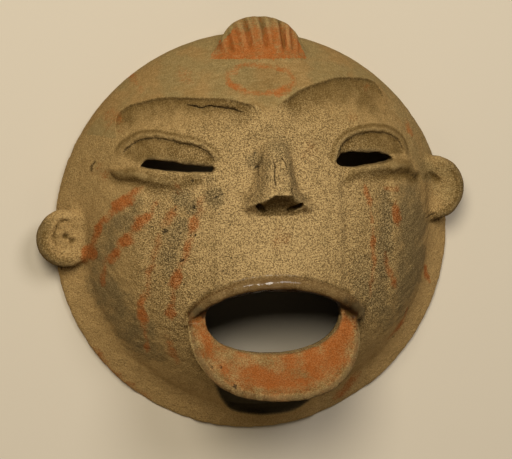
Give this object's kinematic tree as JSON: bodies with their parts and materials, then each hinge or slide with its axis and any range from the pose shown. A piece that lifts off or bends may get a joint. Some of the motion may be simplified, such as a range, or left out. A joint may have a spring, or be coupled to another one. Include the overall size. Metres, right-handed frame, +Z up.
{
  "type": "mask",
  "caption": "Round hand-built clay face mask with narrow eye slits, an open mouth with a jutting lower lip, disc ears and a grooved tuft, lying face up on its rim.",
  "frame": {"origin": "on the surface that the rim lies on, under the middle of the mask's footprint", "axes": "+Z up out of the face, +Y from the chin to the tuft above the forehead, +X towards the ear on the right as the face is looked at"},
  "size_m": [0.1978, 0.1884, 0.0792],
  "materials": {
    "fired_clay": "unglazed coarse fired clay, matt, with worn red and dark painted patches"
  },
  "bodies": {
    "root": {"clay_mask": "fired_clay"}
  },
  "joints": []
}
